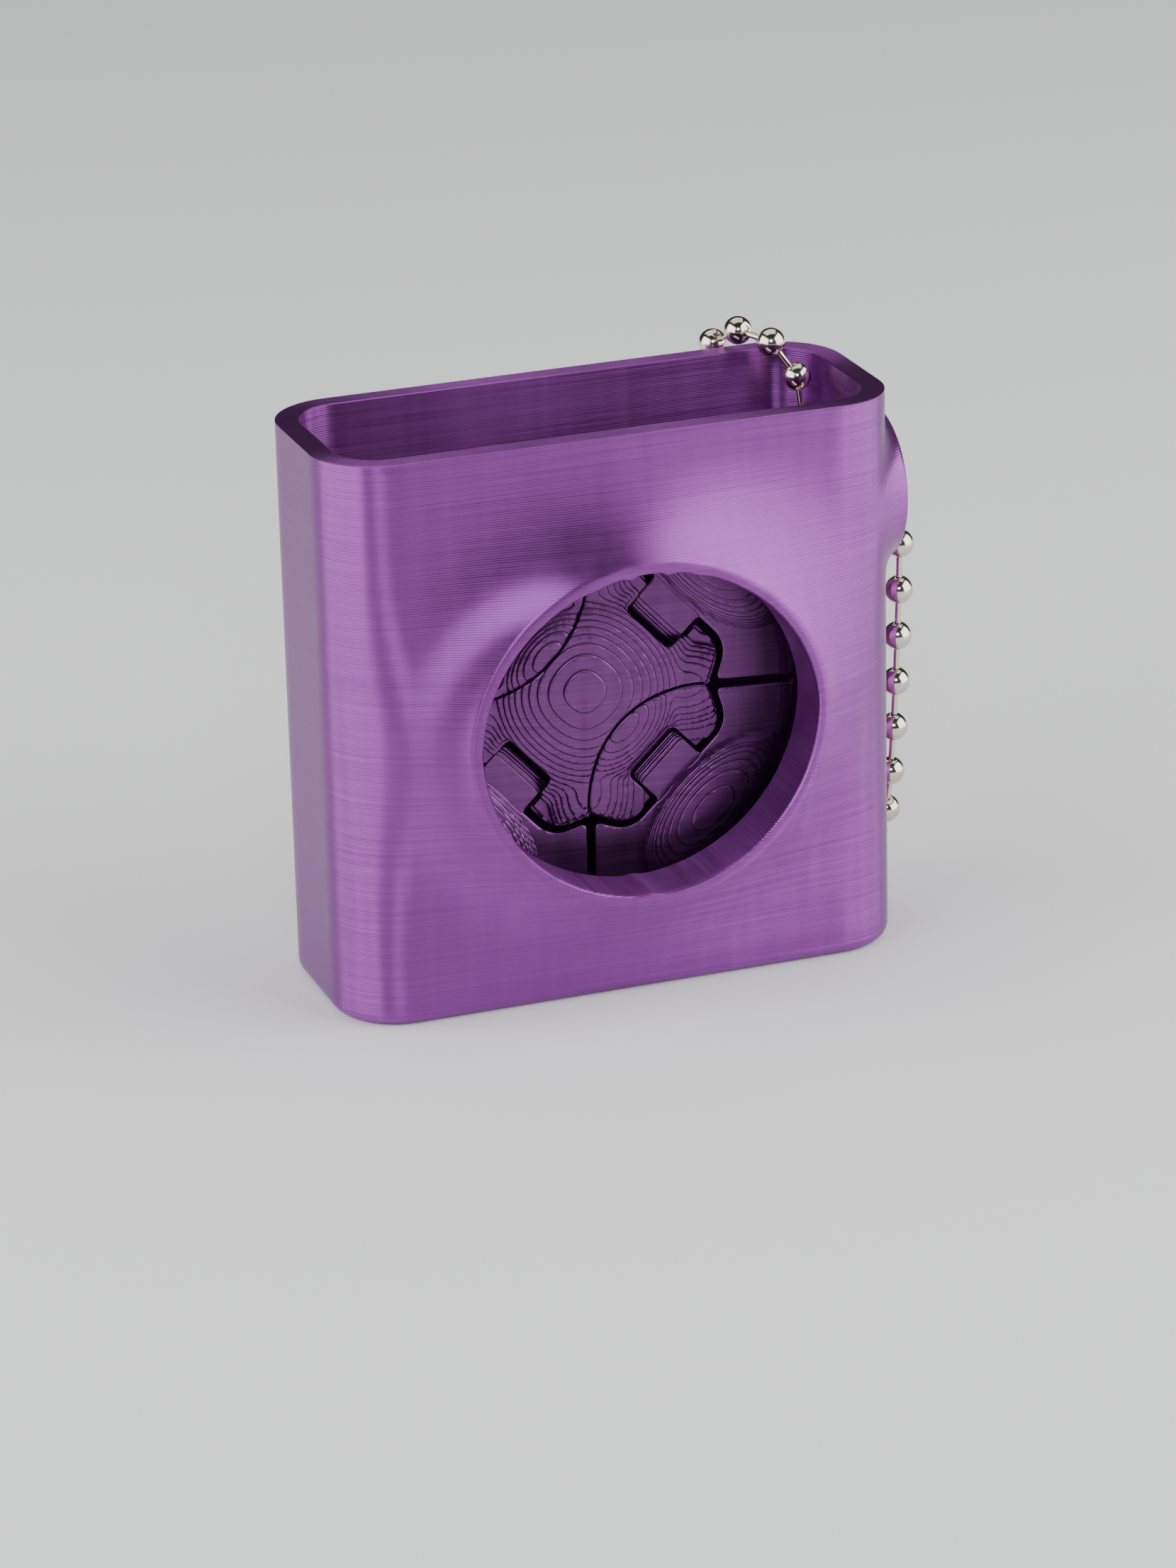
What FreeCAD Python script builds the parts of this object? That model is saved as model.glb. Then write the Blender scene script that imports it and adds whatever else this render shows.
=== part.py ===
"""Upright printed case with a round front window, a jointed folding toy inside it and a ball chain.

Frame: millimetres, +Z up, X to the right, the window faces -Y.
Origin: the middle of the case's flat base.
"""

import FreeCAD, Part
import Sketcher
import math
import os

Vector = FreeCAD.Vector
Rotation = FreeCAD.Rotation
Placement = FreeCAD.Placement

doc = FreeCAD.newDocument("case_and_toy")

# Driving sizes, millimetres and degrees. Each is one physical size that can be set by itself.
SIZES = {
    # case
    "case_width": 51.0,
    "case_depth": 20.6,
    "case_tall": 50.0,
    "corner_radius": 5.9,
    "wall": 2.0,
    "floor_thick": 3.75,
    "base_round": 1.2,
    # round window and its flared collar, on the front wall
    "window_radius": 15.1,
    "window_right": 1.0,
    "window_up": 25.0,
    "collar_band": 0.95,
    "collar_proud": 3.0,
    "collar_flare": 3.95,
    "collar_sag": 0.83,
    "collar_root": 1.0,
    # chain eye and its collar, on the right-hand wall
    "eye_radius": 6.2,
    "eye_up": 39.0,
    "eye_band": 1.0,
    "eye_proud": 1.8,
    "eye_flare": 1.2,
    "eye_sag": 0.25,
    "eye_root": 1.6,
    # toy, in its own plane: the middle is the origin and the dome side faces +Z
    "toy_radius": 21.0,
    "toy_flat": 18.0,
    "link_half": 11.8,
    "link_flat": 11.0,
    "link_thick": 3.6,
    "dome_rise": 2.8,
    "dome_radius": 18.5,
    "seam_radius": 10.2,
    "seam_middle": 14.35,
    "seam_gap": 0.24,
    "side_rise": 1.9,
    "notch_floor": 8.15,
    "notch_half": 2.6,
    "petal_thick": 3.4,
    "petal_rise": 2.2,
    "petal_gap": 0.65,
    "slit": 0.7,
    # hinge between a petal and the link that carries it
    "hinge_out": 10.1,
    "hinge_up": 1.75,
    "barrel_radius": 1.45,
    "barrel_side_gap": 0.35,
    "pin_radius": 0.7,
    "pin_reach": 0.8,
    "pin_gap": 0.25,
    "pin_fit": 0.1,
    "bump_out": 15.0,
    "bump_deep": 4.6,
    "bump_wide": 9.0,
    "crown_deep": 3.6,
    "crown_wide": 8.0,
    "web_bite": 0.5,
    "arm_root": 2.5,
    # hinge between a side link and the centre link
    "side_hinge_out": 5.9,
    "side_hinge_up": 1.2,
    "side_barrel_radius": 1.0,
    "side_barrel_half": 2.2,
    "side_pin_radius": 0.5,
    # where the toy rests in the case
    "toy_right": -1.04,
    "toy_back": 2.94,
    "toy_up": 24.71,
    "toy_lean": 6.0,
    "toy_turn": 4.5,
    "toy_roll": 2.0,
    # ball chain
    "bead_radius": 1.25,
    "bead_shell": 0.25,
    "bead_pitch": 4.22,
    "link_pin_radius": 0.28,
    "link_head_radius": 0.42,
    "link_hole_gap": 0.08,
    "link_head_in": 0.48,
    "clasp_radius": 1.65,
    "clasp_sheet": 0.3,
    "clasp_lap": 1.3,
    "clasp_slot": 1.2,
}

sheet = doc.addObject("Spreadsheet::Sheet", "sizes")
for row, (alias, value) in enumerate(SIZES.items(), start=1):
    sheet.set(f"A{row}", alias)
    sheet.set(f"B{row}", str(value))
    sheet.setAlias(f"B{row}", alias)
doc.recompute()


def size(alias):
    """A driving size as the sheet holds it."""
    return float(sheet.get(alias))


def bind(obj, **formulas):
    """Binds properties to formulas over the sheet; a word such as sizes.wall reads a cell."""
    for name, formula in formulas.items():
        obj.setExpression(name.replace("__", "."), formula)
    return obj


def solid(kind, name, at=("0", "0", "0"), turn=None, **formulas):
    """A Part primitive whose sizes and place are formulas; turn is (axis, degrees)."""
    obj = doc.addObject(f"Part::{kind}", name)
    if turn:
        obj.Placement = Placement(Vector(), Rotation(Vector(*turn[0]), turn[1]))
    bind(obj, Placement__Base__x=at[0], Placement__Base__y=at[1], Placement__Base__z=at[2])
    return bind(obj, **formulas)


def fuse(name, *shapes):
    obj = doc.addObject("Part::MultiFuse", name)
    obj.Shapes = list(shapes)
    return obj


def common(name, *shapes):
    obj = doc.addObject("Part::MultiCommon", name)
    obj.Shapes = list(shapes)
    return obj


def cut(name, base, *tools):
    obj = doc.addObject("Part::Cut", name)
    obj.Base = base
    obj.Tool = tools[0] if len(tools) == 1 else fuse(f"{name}_tools", *tools)
    return obj


# --- case -----------------------------------------------------------------------------------


def origin_plane(body, role):
    return next(f for f in body.Origin.OriginFeatures if f.Role == role)


def new_sketch(body, name, role):
    sketch = body.newObject("Sketcher::SketchObject", name)
    sketch.AttachmentSupport = [(origin_plane(body, role), "")]
    sketch.MapMode = "FlatFace"
    return sketch


def rectangle(sketch, width, depth):
    """A rectangle centred on the sketch's origin, its sides bound to two formulas."""
    corners = [(-1, -1), (1, -1), (1, 1), (-1, 1)]
    points = [Vector(10 * x, 5 * y, 0) for x, y in corners]
    for i in range(4):
        sketch.addGeometry(Part.LineSegment(points[i], points[(i + 1) % 4]), False)
    for i in range(4):
        sketch.addConstraint(Sketcher.Constraint("Coincident", i, 2, (i + 1) % 4, 1))
    for i in (0, 2):
        sketch.addConstraint(Sketcher.Constraint("Horizontal", i))
    for i in (1, 3):
        sketch.addConstraint(Sketcher.Constraint("Vertical", i))
    sketch.addConstraint(Sketcher.Constraint("Symmetric", 0, 1, 1, 2, -1, 1))
    for name, line, formula in (("width", 0, width), ("depth", 1, depth)):
        kind = "DistanceX" if name == "width" else "DistanceY"
        number = sketch.addConstraint(Sketcher.Constraint(kind, line, 1, line, 2, 10.0))
        sketch.renameConstraint(number, name)
        sketch.setExpression(f"Constraints.{name}", formula)


def upright_edges(shape, corner_x, corner_y):
    """The names of the vertical edges at the four corners of a rectangle."""
    names = []
    for i, edge in enumerate(shape.Edges, start=1):
        a, b = edge.Vertexes[0].Point, edge.Vertexes[-1].Point
        upright = abs(a.x - b.x) < 1e-6 and abs(a.y - b.y) < 1e-6
        if upright and abs(abs(a.x) - corner_x) < 1e-4 and abs(abs(a.y) - corner_y) < 1e-4:
            names.append(f"Edge{i}")
    return names


def low_edges(shape):
    """The names of the edges that lie in the base plane."""
    return [f"Edge{i}" for i, e in enumerate(shape.Edges, start=1) if e.BoundBox.ZMax < 1e-6]


def rounded(body, name, base, edges, formula):
    fillet = body.newObject("PartDesign::Fillet", name)
    fillet.Base = (base, edges)
    fillet.setExpression("Radius", formula)
    doc.recompute()
    return fillet


body = doc.addObject("PartDesign::Body", "case_shell")
outline = new_sketch(body, "case_outline", "XY_Plane")
rectangle(outline, "sizes.case_width", "sizes.case_depth")
block = body.newObject("PartDesign::Pad", "case_block")
block.Profile = outline
block.setExpression("Length", "sizes.case_tall")
doc.recompute()
corners = rounded(
    body,
    "case_corners",
    block,
    upright_edges(block.Shape, size("case_width") / 2, size("case_depth") / 2),
    "sizes.corner_radius",
)
rounded(body, "case_base_round", corners, low_edges(corners.Shape), "sizes.base_round")

mouth = new_sketch(body, "mouth_outline", "XY_Plane")
bind(mouth, AttachmentOffset__Base__z="sizes.case_tall")
rectangle(mouth, "sizes.case_width - 2 * sizes.wall", "sizes.case_depth - 2 * sizes.wall")
doc.recompute()
hollow = body.newObject("PartDesign::Pocket", "case_hollow")
hollow.Profile = mouth
hollow.setExpression("Length", "sizes.case_tall - sizes.floor_thick")
doc.recompute()
rounded(
    body,
    "hollow_corners",
    hollow,
    upright_edges(
        hollow.Shape,
        size("case_width") / 2 - size("wall"),
        size("case_depth") / 2 - size("wall"),
    ),
    "sizes.corner_radius - sizes.wall",
)


def collar(name, lip, flare, sag, proud, root, skirt):
    """A collar turned about +Z: a flat ring face, and a hollow flare down to z = -root.

    The solid goes on down by the skirt, into the wall that carries it.
    """
    top = Vector(lip, 0, proud)
    foot = Vector(lip + flare, 0, -root)
    chord = foot - top
    inward = Vector(chord.z, 0, -chord.x).normalize()
    bend = (top + foot) * 0.5 + inward * sag
    low = -root - skirt
    edges = [
        Part.LineSegment(Vector(0, 0, low), Vector(0, 0, proud)).toShape(),
        Part.LineSegment(Vector(0, 0, proud), top).toShape(),
        Part.Arc(top, bend, foot).toShape(),
        Part.LineSegment(foot, Vector(foot.x, 0, low)).toShape(),
        Part.LineSegment(Vector(foot.x, 0, low), Vector(0, 0, low)).toShape(),
    ]
    feature = doc.addObject("Part::Feature", name)
    feature.Shape = Part.Face(Part.Wire(edges)).revolve(Vector(), Vector(0, 0, 1), 360)
    return feature


window_collar = collar(
    "window_collar",
    size("window_radius") + size("collar_band"),
    size("collar_flare"),
    size("collar_sag"),
    size("collar_proud"),
    0.0,
    size("collar_root"),
)
window_collar.Placement = Placement(
    Vector(size("window_right"), -size("case_depth") / 2, size("window_up")),
    Rotation(Vector(1, 0, 0), 90),
)
eye_collar = collar(
    "eye_collar",
    size("eye_radius") + size("eye_band"),
    size("eye_flare"),
    size("eye_sag"),
    size("eye_proud"),
    size("eye_root"),
    0.1,
)
eye_collar.Placement = Placement(
    Vector(size("case_width") / 2, 0, size("eye_up")),
    Rotation(Vector(0, 1, 0), 90),
)
window_bore = solid(
    "Cylinder",
    "window_bore",
    at=("sizes.window_right", "0", "sizes.window_up"),
    turn=((1, 0, 0), 90),
    Radius="sizes.window_radius",
    Height="sizes.case_depth / 2 + sizes.collar_proud + 1",
)
eye_bore = solid(
    "Cylinder",
    "eye_bore",
    at=("sizes.case_width / 2 - sizes.wall - 1", "0", "sizes.eye_up"),
    turn=((0, 1, 0), 90),
    Radius="sizes.eye_radius",
    Height="sizes.wall + sizes.eye_proud + 2",
)
case = cut("case", fuse("case_with_collars", body, window_collar, eye_collar), window_bore, eye_bore)

# --- toy ------------------------------------------------------------------------------------
# Each link is made about the toy's middle with its own diagonal along X, then turned into place.

TOY = Placement(
    Vector(size("toy_right"), size("toy_back"), size("toy_up")),
    Rotation(Vector(0, 0, 1), -size("toy_turn"))
    * Rotation(Vector(1, 0, 0), 90 - size("toy_lean"))
    * Rotation(Vector(0, 0, 1), -size("toy_roll")),
)
TALL = "sizes.link_thick + sizes.dome_rise"


def diagonal(degrees):
    """Where a link made along X goes when its diagonal lies at this angle in the toy's plane."""
    return TOY * Placement(Vector(), Rotation(Vector(0, 0, 1), degrees))


def block_at(name, x0, x1, half, z0, z1):
    """A box from x0 to x1, half its width to each side of X, and from z0 to z1."""
    return solid(
        "Box",
        name,
        at=(x0, f"-({half})", z0),
        Length=f"({x1}) - ({x0})",
        Width=f"2 * ({half})",
        Height=f"({z1}) - ({z0})",
    )


def rod_across(name, x, z, radius, half):
    """A cylinder along Y, centred on it."""
    return solid(
        "Cylinder", name, at=(x, half, z), turn=((1, 0, 0), 90), Radius=radius, Height=f"2 * ({half})"
    )


def turned_square(name, half, tall):
    """A square prism with its corners on the X and Y axes' diagonals turned by 45 degrees."""
    return solid(
        "Box",
        name,
        at=("0", f"-({half}) * 2 ^ 0.5", "0"),
        turn=((0, 0, 1), 45),
        Length=f"2 * ({half})",
        Width=f"2 * ({half})",
        Height=tall,
    )


def cross_blank(name, grow, tall):
    """The outline of the inner links together, grown by a gap: an eight-sided prism."""
    flat = f"sizes.link_flat + {grow}"
    square = turned_square(f"{name}_square", f"sizes.link_half + {grow}", tall)
    diamond = solid(
        "Box",
        f"{name}_diamond",
        at=(f"-({flat})", f"-({flat})", "0"),
        Length=f"2 * ({flat})",
        Width=f"2 * ({flat})",
        Height=tall,
    )
    return common(name, square, diamond)


def seam_disc(name, x, y, change):
    return solid(
        "Cylinder",
        name,
        at=(x, y, "0"),
        Radius=f"sizes.seam_radius + ({change})",
        Height=TALL,
    )


def notch(name):
    """The slot for a petal's barrel, open outwards along +X."""
    return block_at(name, "sizes.notch_floor", "sizes.toy_radius", "sizes.notch_half", "0", TALL)


def socket(name, side):
    """The pair of holes for a petal's hinge pins."""
    reach = "sizes.notch_half + sizes.pin_reach + sizes.pin_gap"
    return rod_across(
        name, f"{side} * sizes.hinge_out", "sizes.hinge_up", "sizes.pin_radius + sizes.pin_fit", reach
    )


def turned(name, shape, degrees):
    """The same shape turned about the toy's middle."""
    copy = doc.addObject("Part::Compound", name)
    copy.Links = [shape]
    copy.Placement = Placement(Vector(), Rotation(Vector(0, 0, 1), degrees))
    return copy


def make_centre_link():
    """The domed link with a hinge slot at each end and a knuckle under each side link."""
    seams = [seam_disc(f"centre_seam_{i}", "0", f"{s} * sizes.seam_middle", "sizes.seam_gap / 2")
             for i, s in enumerate((1, -1))]
    notches = [notch("centre_notch_a"), turned("centre_notch_b", notch("centre_notch_c"), 180)]
    plate = cut(
        "centre_plate",
        cross_blank("centre_low", "0", "sizes.link_thick"),
        *seams, *notches, socket("centre_socket_a", "1"), socket("centre_socket_b", "-1"),
    )
    ball = solid(
        "Sphere",
        "centre_ball",
        at=("0", "0", f"{TALL} - sizes.dome_radius"),
        Radius="sizes.dome_radius",
    )
    dome = cut("centre_dome", common("centre_cap", cross_blank("centre_high", "0", TALL), ball),
               *seams, *notches, socket("centre_socket_c", "1"), socket("centre_socket_d", "-1"))
    arm = block_at("centre_arm_one", "sizes.arm_root", "sizes.side_hinge_out", "sizes.side_barrel_half",
                   "sizes.side_hinge_up - sizes.side_barrel_radius",
                   "sizes.side_hinge_up + sizes.side_barrel_radius")
    barrel = rod_across("centre_barrel_one", "sizes.side_hinge_out", "sizes.side_hinge_up",
                        "sizes.side_barrel_radius", "sizes.side_barrel_half")
    pins = rod_across("centre_pins_one", "sizes.side_hinge_out", "sizes.side_hinge_up",
                      "sizes.side_pin_radius", "sizes.side_barrel_half + sizes.pin_reach")
    knuckle = fuse("centre_knuckle", arm, barrel, pins)
    link = fuse("centre_link", plate, dome, turned("centre_knuckle_a", knuckle, 90),
                turned("centre_knuckle_b", knuckle, -90))
    link.Placement = diagonal(45)
    return link


def make_side_link(name, degrees):
    """The lobe beyond a seam: it tips back on the centre link's knuckle and carries a petal."""
    disc = seam_disc(f"{name}_disc", "sizes.seam_middle", "0", "-sizes.seam_gap / 2")
    slot = notch(f"{name}_notch")
    pocket = block_at(
        f"{name}_pocket", "0",
        "sizes.side_hinge_out + sizes.side_barrel_radius + sizes.pin_gap",
        "sizes.side_barrel_half + sizes.pin_gap", "0",
        "sizes.side_hinge_up + sizes.side_barrel_radius + sizes.pin_gap",
    )
    bearing = rod_across(
        f"{name}_bearing", "sizes.side_hinge_out", "sizes.side_hinge_up",
        "sizes.side_pin_radius + sizes.pin_fit", "sizes.side_barrel_half + sizes.pin_reach + sizes.pin_gap",
    )
    low = common(f"{name}_low", cross_blank(f"{name}_low_blank", "0", "sizes.link_thick"), disc)
    crown = solid(
        "Ellipsoid",
        f"{name}_crown",
        at=("sizes.seam_middle - sizes.seam_radius", "0", "sizes.link_thick"),
        Radius1="sizes.side_rise",
        Radius2="sizes.crown_deep",
        Radius3="sizes.crown_wide",
    )
    high = common(f"{name}_high", cross_blank(f"{name}_high_blank", "0", TALL), disc, crown)
    link = cut(name, fuse(f"{name}_blank", low, high), slot, pocket, bearing,
               socket(f"{name}_socket", "1"))
    link.Placement = diagonal(degrees)
    return link


def petal_plan(name, tall):
    """A quarter of the rim: a wedge, round outside with a flat, cut away around the links."""
    wedge = solid(
        "Box", f"{name}_wedge", at=("sizes.slit / 2 * 2 ^ 0.5", "0", "0"), turn=((0, 0, 1), -45),
        Length="sizes.toy_radius * 1.5", Width="sizes.toy_radius * 1.5", Height=tall,
    )
    rim = solid("Cylinder", f"{name}_rim", Radius="sizes.toy_radius", Height=tall)
    flat = block_at(f"{name}_flat", "0", "sizes.toy_flat", "sizes.toy_radius", "0", tall)
    blank = common(f"{name}_blank", wedge, rim, flat)
    return cut(f"{name}_plan", blank, cross_blank(f"{name}_cross", "sizes.petal_gap", tall))


def make_petal(name, degrees):
    """One rim petal with its bump, and the barrel and pins that it hinges on."""
    bump = solid(
        "Ellipsoid",
        f"{name}_bump",
        at=("sizes.bump_out", "0", "sizes.petal_thick"),
        Radius1="sizes.petal_rise",
        Radius2="sizes.bump_deep",
        Radius3="sizes.bump_wide",
    )
    top = common(f"{name}_top", petal_plan(f"{name}_high", "sizes.petal_thick + sizes.petal_rise"), bump)
    barrel_half = "sizes.notch_half - sizes.barrel_side_gap"
    web = block_at(
        f"{name}_web", "sizes.hinge_out", "sizes.link_flat + sizes.petal_gap + sizes.web_bite", barrel_half,
        "sizes.hinge_up - sizes.barrel_radius", "sizes.hinge_up + sizes.barrel_radius",
    )
    barrel = rod_across(f"{name}_barrel", "sizes.hinge_out", "sizes.hinge_up",
                        "sizes.barrel_radius", barrel_half)
    pins = rod_across(f"{name}_pins", "sizes.hinge_out", "sizes.hinge_up",
                      "sizes.pin_radius", "sizes.notch_half + sizes.pin_reach")
    petal = fuse(name, petal_plan(f"{name}_low", "sizes.petal_thick"), top, web, barrel, pins)
    petal.Placement = diagonal(degrees)
    return petal


CORNERS = {"upper_right": 45, "lower_right": -45, "lower_left": -135, "upper_left": 135}

nodes = [case, make_centre_link()]
nodes += [make_side_link(f"side_link_{c}", CORNERS[c]) for c in ("lower_right", "upper_left")]
nodes += [make_petal(f"petal_{corner}", degrees) for corner, degrees in CORNERS.items()]

# --- ball chain -----------------------------------------------------------------------------
# The chain is a closed loop through the eye and over the back of the mouth. Its route starts
# and ends at the clasp, behind the case. The points are for a case of the sizes below.

ROUTE_CASE = {"half_width": 25.5, "half_depth": 10.3, "tall": 50.0}
ROUTE_TOP = 44.0

ROUTE = [
    (15.6, 12.5, 24.1), (15.7, 12.5, 29.4), (15.9, 12.6, 35.0), (16.0, 12.8, 40.9),
    (16.2, 12.7, 46.4), (16.5, 11.9, 50.8), (17.7, 7.7, 52.3), (19.0, 3.9, 52.1),
    (21.7, 4.5, 48.8), (22.2, 4.5, 43.6), (21.6, 3.2, 38.2), (22.7, 0.7, 35.4),
    (25.7, -1.4, 35.7), (28.4, -2.0, 35.6), (28.3, -2.0, 31.9), (28.1, -2.0, 26.0),
    (27.8, -2.0, 19.1), (27.4, -1.9, 12.4), (27.7, 0.5, 6.8), (27.3, 5.6, 4.5),
    (24.8, 10.4, 4.7), (21.0, 12.7, 7.3), (17.6, 13.2, 12.0), (15.1, 13.0, 18.2),
]


def fitted_route():
    """The route for this case: moved with its right-hand wall, its back and its mouth."""
    right = size("case_width") / 2 - ROUTE_CASE["half_width"]
    behind = size("case_depth") / 2 / ROUTE_CASE["half_depth"]
    up = size("case_tall") - ROUTE_CASE["tall"]
    return [(x + right, y * behind, z + (up if z > ROUTE_TOP else 0)) for x, y, z in ROUTE]


def smooth_curve(points):
    """The clamped quadratic B-spline that has these points as its poles."""
    count = len(points)
    knots = list(range(count - 1))
    mults = [3] + [1] * (count - 3) + [3]
    curve = Part.BSplineCurve()
    curve.buildFromPolesMultsKnots([Vector(*p) for p in points], mults, knots, False, 2)
    return curve


def bead_places(curve, pitch):
    """Places along the curve, each one pitch of chain from the last."""
    long = curve.length()
    count = int(long / pitch) + 1
    spare = (long - (count - 1) * pitch) / 2
    return [curve.value(curve.parameterAtDistance(spare + pitch * i)) for i in range(count)]


chain_curve = smooth_curve(fitted_route())
BEADS = bead_places(chain_curve, size("bead_pitch"))
print(f"chain: {chain_curve.length():.1f} mm of route, {len(BEADS)} beads")


def make_bead(name, place, neighbours):
    """A hollow ball with a hole towards each neighbour for the pin that joins them."""
    radius = size("bead_radius")
    inner = radius - size("bead_shell")
    axis = neighbours[0] - place
    shell = Part.makeSphere(radius, place, axis).cut(Part.makeSphere(inner, place, axis))
    hole = size("link_pin_radius") + size("link_hole_gap")
    for other in neighbours:
        shell = shell.cut(Part.makeCylinder(hole, radius + 1, place, other - place))
    feature = doc.addObject("Part::Feature", name)
    feature.Shape = shell
    return feature


def pin_solid(a, b):
    """A dumbbell pin: a neck from ball to ball, with a head inside each."""
    along = (b - a).normalize()
    start = a + along * size("link_head_in")
    end = b - along * size("link_head_in")
    neck = Part.makeCylinder(size("link_pin_radius"), (end - start).Length, start, along)
    heads = [Part.makeSphere(size("link_head_radius"), p, along) for p in (start, end)]
    return neck.multiFuse(heads).removeSplitter()


bead_nodes = []
for i, place in enumerate(BEADS):
    neighbours = [BEADS[j] for j in (i - 1, i + 1) if 0 <= j < len(BEADS)]
    bead_nodes.append(make_bead(f"chain_bead_{i + 1:02d}", place, neighbours))

pins = doc.addObject("Part::Feature", "chain_pins")
pins.Shape = Part.makeCompound([pin_solid(a, b) for a, b in zip(BEADS, BEADS[1:])])


def make_clasp():
    """A folded sheet clasp: a tube with a slot along it that holds the chain's two end beads."""
    low, high = BEADS[-1], BEADS[0]
    along = (high - low).normalize()
    start = low - along * size("clasp_lap")
    length = (high - low).Length + 2 * size("clasp_lap")
    tube = Part.makeCylinder(size("clasp_radius"), length, start, along)
    bore = Part.makeCylinder(size("clasp_radius") - size("clasp_sheet"), length, start, along)
    slot = Part.makeBox(size("clasp_slot"), size("clasp_radius") + 1, length)
    slot.translate(Vector(-size("clasp_slot") / 2, 0, 0))
    slot.Placement = Placement(start, Rotation(Vector(0, 0, 1), along)) * slot.Placement
    feature = doc.addObject("Part::Feature", "chain_clasp")
    feature.Shape = tube.cut(bore).cut(slot)
    return feature


nodes += bead_nodes + [pins, make_clasp()]

# --- checks and export ----------------------------------------------------------------------

doc.recompute()
for obj in doc.Objects:
    if "Invalid" in obj.State or "Error" in obj.State:
        raise RuntimeError(f"{obj.Name} failed: {obj.State}")
os.makedirs("parts", exist_ok=True)
for node in nodes:
    if node.Shape.isNull() or not node.Shape.isValid():
        raise RuntimeError(f"{node.Label} has no valid shape")
    node.Shape.exportStep(f"parts/{node.Label}.step")
    box = node.Shape.BoundBox
    if not node.Label.startswith("chain_bead"):
        print(f"{node.Label}: {len(node.Shape.Solids)} solids, {node.Shape.Volume:.1f} mm3, "
              f"x {box.XMin:.2f}..{box.XMax:.2f} y {box.YMin:.2f}..{box.YMax:.2f} "
              f"z {box.ZMin:.2f}..{box.ZMax:.2f}")
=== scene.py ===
# %% [markdown]
# # Upright case with a round window, a folding toy and a ball chain
# A small printed keepsake: an open-topped purple case, a jointed domed toy that sits in it, and a
# nickel ball chain through an eye on its side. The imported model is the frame: every piece below is
# made in its coordinates, in metres, and rides on one of its bodies.

# %% Load the frame
import math

import bmesh
import bpy
from mathutils import Matrix, Vector


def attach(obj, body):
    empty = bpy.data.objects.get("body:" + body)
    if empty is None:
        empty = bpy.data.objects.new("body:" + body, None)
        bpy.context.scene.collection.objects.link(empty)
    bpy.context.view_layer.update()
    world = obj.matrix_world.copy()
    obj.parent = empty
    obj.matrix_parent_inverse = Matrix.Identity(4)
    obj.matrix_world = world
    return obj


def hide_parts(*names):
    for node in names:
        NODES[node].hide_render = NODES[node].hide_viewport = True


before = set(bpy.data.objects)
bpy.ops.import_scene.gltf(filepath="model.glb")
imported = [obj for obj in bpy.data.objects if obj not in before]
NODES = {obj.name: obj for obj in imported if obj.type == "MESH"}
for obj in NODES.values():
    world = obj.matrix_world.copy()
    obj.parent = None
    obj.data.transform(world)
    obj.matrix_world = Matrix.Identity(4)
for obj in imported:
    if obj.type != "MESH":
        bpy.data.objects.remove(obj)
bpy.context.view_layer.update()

# %% [markdown]
# ## Units and colours
# Sizes are written in millimetres, because the maker's drawing is, and turned to metres in one
# place. Colours are written as sRGB hex values, as a paint chip would be, and turned to the linear
# values that shaders work in.

# %% Units and colours
MM = 0.001


def mm(x, y, z):
    """A point given in millimetres, in metres."""
    return Vector((x, y, z)) * MM


def linear(code):
    """An sRGB hex colour as linear red, green, blue and alpha."""
    parts = [int(code[i:i + 2], 16) / 255 for i in (1, 3, 5)]
    return (*[p / 12.92 if p <= 0.04045 else ((p + 0.055) / 1.055) ** 2.4 for p in parts], 1.0)


print("case purple, linear:", [round(v, 3) for v in linear("#9a51a6")])

# %% [markdown]
# ## Camera
# A long lens from a little above and to the left, half a metre away. The camera's three axes are
# worked out from its angles, which is plainer than Euler angles when it is also rolled a little.

# %% Camera
LENS, FAR, AIM_UP = 130.69, 0.4906, 24.955
AZIMUTH, ELEVATION, ROLL, DIP = [math.radians(v) for v in (-19.657, 19.886, 1.441, 1.037)]
back = Vector((
    math.sin(AZIMUTH) * math.cos(ELEVATION),
    -math.cos(AZIMUTH) * math.cos(ELEVATION),
    math.sin(ELEVATION),
))
across = (-back).cross(Vector((0, 0, 1))).normalized()
upward = across.cross(-back)
right = across * math.cos(ROLL) - upward * math.sin(ROLL)
rolled_up = across * math.sin(ROLL) + upward * math.cos(ROLL)
look = -back * math.cos(DIP) - rolled_up * math.sin(DIP)
top = rolled_up * math.cos(DIP) - back * math.sin(DIP)

camera = bpy.data.objects.new("camera", bpy.data.cameras.new("camera"))
bpy.context.collection.objects.link(camera)
camera.matrix_world = Matrix.Translation(mm(0, 0, AIM_UP) + back * FAR) @ Matrix(
    (right, top, -look)
).transposed().to_4x4()
camera.data.lens = LENS
camera.data.clip_start, camera.data.clip_end = 0.01, 20
bpy.context.scene.camera = camera
print("camera at", [round(v / MM, 1) for v in camera.location])

# %% [markdown]
# ## A helper for meshes
# A piece is built in a bmesh, then turned into an object whose origin is the frame's. Faces are
# smooth except across edges sharper than a set angle, as on a real moulded or printed part.

# %% Mesh helper
def finished(bm, name, body, material, sharp=35):
    """The bmesh as an object that rides on a body and takes its finish from a slot."""
    mesh = bpy.data.meshes.new(name)
    bm.to_mesh(mesh)
    bm.free()
    mesh.shade_smooth()
    mesh.set_sharp_from_angle(angle=math.radians(sharp))
    piece = bpy.data.objects.new(name, mesh)
    bpy.context.collection.objects.link(piece)
    mesh.materials.append(material)
    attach(piece, body)
    print(f"{name}: {len(mesh.vertices)} vertices, {len(mesh.polygons)} faces")
    return piece


# %% [markdown]
# ## A helper for materials
# Each finish is a small graph of nodes. One function adds a node, sets its values and links its
# inputs, so that a finish reads from top to bottom like a recipe.

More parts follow.
